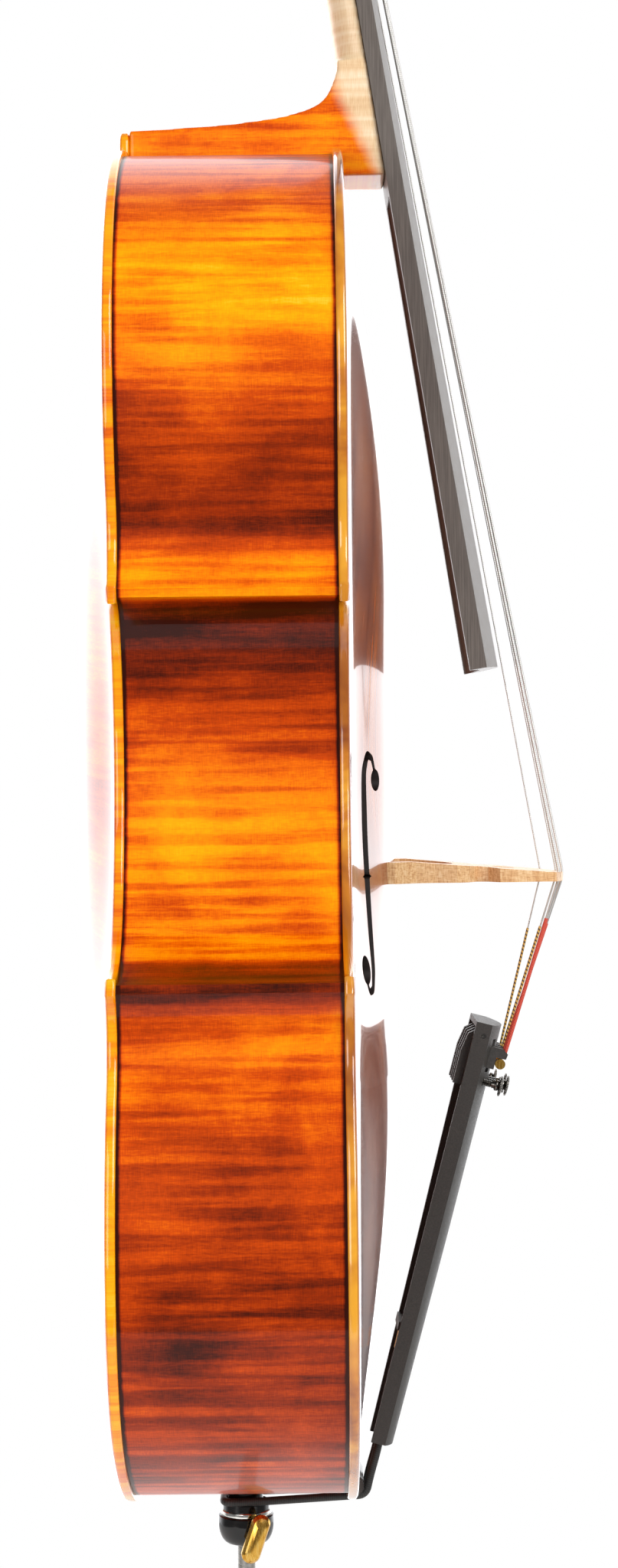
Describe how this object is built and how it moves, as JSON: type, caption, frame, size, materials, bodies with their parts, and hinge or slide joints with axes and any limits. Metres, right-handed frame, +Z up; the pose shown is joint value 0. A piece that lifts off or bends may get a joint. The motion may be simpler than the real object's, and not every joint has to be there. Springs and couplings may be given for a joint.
{
  "type": "cello",
  "caption": "Full-size cello with arched plates, flamed ribs, pegs that turn, a bridge, a tailpiece with fine tuners, and a sliding endpin with its clamp screw.",
  "frame": {"origin": "centre of the endpin rod's lower end", "axes": "+Z up the instrument towards the scroll, -Y out of the top towards the strings, -X towards the bass side"},
  "size_m": [0.4376, 0.273, 1.5208],
  "materials": {
    "spruce": "gloss",
    "flamed_maple": "gloss",
    "willow": "matt",
    "purfling": "gloss",
    "ebony": "satin",
    "bridge_maple": "satin",
    "tailpiece_composite": "matt",
    "tuner_steel": "satin",
    "brass": "gloss",
    "string_steel": "satin",
    "tailgut_cord": "satin",
    "socket_plastic": "gloss",
    "nickel": "gloss",
    "rod_steel": "satin"
  },
  "bodies": {
    "body": {"back_linings": "willow", "back_plate": "flamed_maple", "back_purfling": "purfling", "bass_bar": "spruce", "bridge": "bridge_maple", "end_block": "willow", "endpin_ring": "nickel", "endpin_socket": "socket_plastic", "fingerboard": "ebony", "lower_bass_corner_block": "willow", "lower_bass_rib": "flamed_maple", "lower_treble_corner_block": "willow", "lower_treble_rib": "flamed_maple", "middle_bass_rib": "flamed_maple", "middle_treble_rib": "flamed_maple", "neck": "flamed_maple", "neck_block": "willow", "nut": "ebony", "saddle": "ebony", "sound_post": "spruce", "string_a": "string_steel", "string_c": "string_steel", "string_d": "string_steel", "string_g": "string_steel", "tailgut": "tailgut_cord", "tailgut_ferrules": "brass", "tailpiece": "tailpiece_composite", "top_linings": "willow", "top_plate": "spruce", "top_purfling": "purfling", "tuner_pivot_pin": "tuner_steel", "upper_bass_corner_block": "willow", "upper_bass_rib": "flamed_maple", "upper_treble_corner_block": "willow", "upper_treble_rib": "flamed_maple"},
    "peg_c": {"peg_c": "ebony", "string_winding_c": "string_steel"},
    "tuner_screw_c": {"tuner_screw_c": "tuner_steel"},
    "tuner_lever_c": {"tuner_lever_c": "tailpiece_composite", "string_ball_c": "brass"},
    "peg_g": {"peg_g": "ebony", "string_winding_g": "string_steel"},
    "tuner_screw_g": {"tuner_screw_g": "tuner_steel"},
    "tuner_lever_g": {"tuner_lever_g": "tailpiece_composite", "string_ball_g": "brass"},
    "peg_d": {"peg_d": "ebony", "string_winding_d": "string_steel"},
    "tuner_screw_d": {"tuner_screw_d": "tuner_steel"},
    "tuner_lever_d": {"tuner_lever_d": "tailpiece_composite", "string_ball_d": "brass"},
    "peg_a": {"peg_a": "ebony", "string_winding_a": "string_steel"},
    "tuner_screw_a": {"tuner_screw_a": "tuner_steel"},
    "tuner_lever_a": {"tuner_lever_a": "tailpiece_composite", "string_ball_a": "brass"},
    "endpin": {"endpin_rod": "rod_steel"},
    "endpin_screw": {"endpin_screw": "brass"}
  },
  "joints": [
    {"name": "peg_c_turn", "type": "hinge", "parent": "body", "child": "peg_c", "pos_m": [0, -0.02253, 1.34897], "axis": [-1, 0, 0], "continuous": true},
    {"name": "tuner_screw_c_turn", "type": "hinge", "parent": "body", "child": "tuner_screw_c", "pos_m": [-0.01875, -0.12474, 0.52305], "axis": [0, 0.9681, 0.2504], "range_deg": [0, 1440]},
    {"name": "tuner_lever_c_rock", "type": "hinge", "parent": "body", "child": "tuner_lever_c", "pos_m": [-0.01875, -0.13667, 0.54682], "axis": [1, 0, 0], "range_deg": [0, 5.8]},
    {"name": "peg_g_turn", "type": "hinge", "parent": "body", "child": "peg_g", "pos_m": [0, -0.00741, 1.40025], "axis": [-1, 0, 0], "continuous": true},
    {"name": "tuner_screw_g_turn", "type": "hinge", "parent": "body", "child": "tuner_screw_g", "pos_m": [-0.00625, -0.12474, 0.52305], "axis": [0, 0.9681, 0.2504], "range_deg": [0, 1440]},
    {"name": "tuner_lever_g_rock", "type": "hinge", "parent": "body", "child": "tuner_lever_g", "pos_m": [-0.00625, -0.13667, 0.54682], "axis": [1, 0, 0], "range_deg": [0, 5.8]},
    {"name": "peg_d_turn", "type": "hinge", "parent": "body", "child": "peg_d", "pos_m": [0, -0.00027, 1.42646], "axis": [1, 0, 0], "continuous": true},
    {"name": "tuner_screw_d_turn", "type": "hinge", "parent": "body", "child": "tuner_screw_d", "pos_m": [0.00625, -0.12474, 0.52305], "axis": [0, 0.9681, 0.2504], "range_deg": [0, 1440]},
    {"name": "tuner_lever_d_rock", "type": "hinge", "parent": "body", "child": "tuner_lever_d", "pos_m": [0.00625, -0.13667, 0.54682], "axis": [1, 0, 0], "range_deg": [0, 5.8]},
    {"name": "peg_a_turn", "type": "hinge", "parent": "body", "child": "peg_a", "pos_m": [0, -0.0157, 1.37321], "axis": [1, 0, 0], "continuous": true},
    {"name": "tuner_screw_a_turn", "type": "hinge", "parent": "body", "child": "tuner_screw_a", "pos_m": [0.01875, -0.12474, 0.52305], "axis": [0, 0.9681, 0.2504], "range_deg": [0, 1440]},
    {"name": "tuner_lever_a_rock", "type": "hinge", "parent": "body", "child": "tuner_lever_a", "pos_m": [0.01875, -0.13667, 0.54682], "axis": [1, 0, 0], "range_deg": [0, 5.8]},
    {"name": "endpin_slide", "type": "slide", "parent": "body", "child": "endpin", "axis": [0, 0, -1], "range_m": [-0.25, 0.1]},
    {"name": "endpin_screw_turn", "type": "hinge", "parent": "body", "child": "endpin_screw", "pos_m": [0, 0, 0.265], "axis": [-0.9659, -0.2588, 0], "range_deg": [-45, 540]}
  ],
  "couplings": [
    {"joint": "tuner_lever_c_rock", "follows": "tuner_screw_c_turn", "ratio": 0.004},
    {"joint": "tuner_lever_g_rock", "follows": "tuner_screw_g_turn", "ratio": 0.004},
    {"joint": "tuner_lever_d_rock", "follows": "tuner_screw_d_turn", "ratio": 0.004},
    {"joint": "tuner_lever_a_rock", "follows": "tuner_screw_a_turn", "ratio": 0.004}
  ]
}
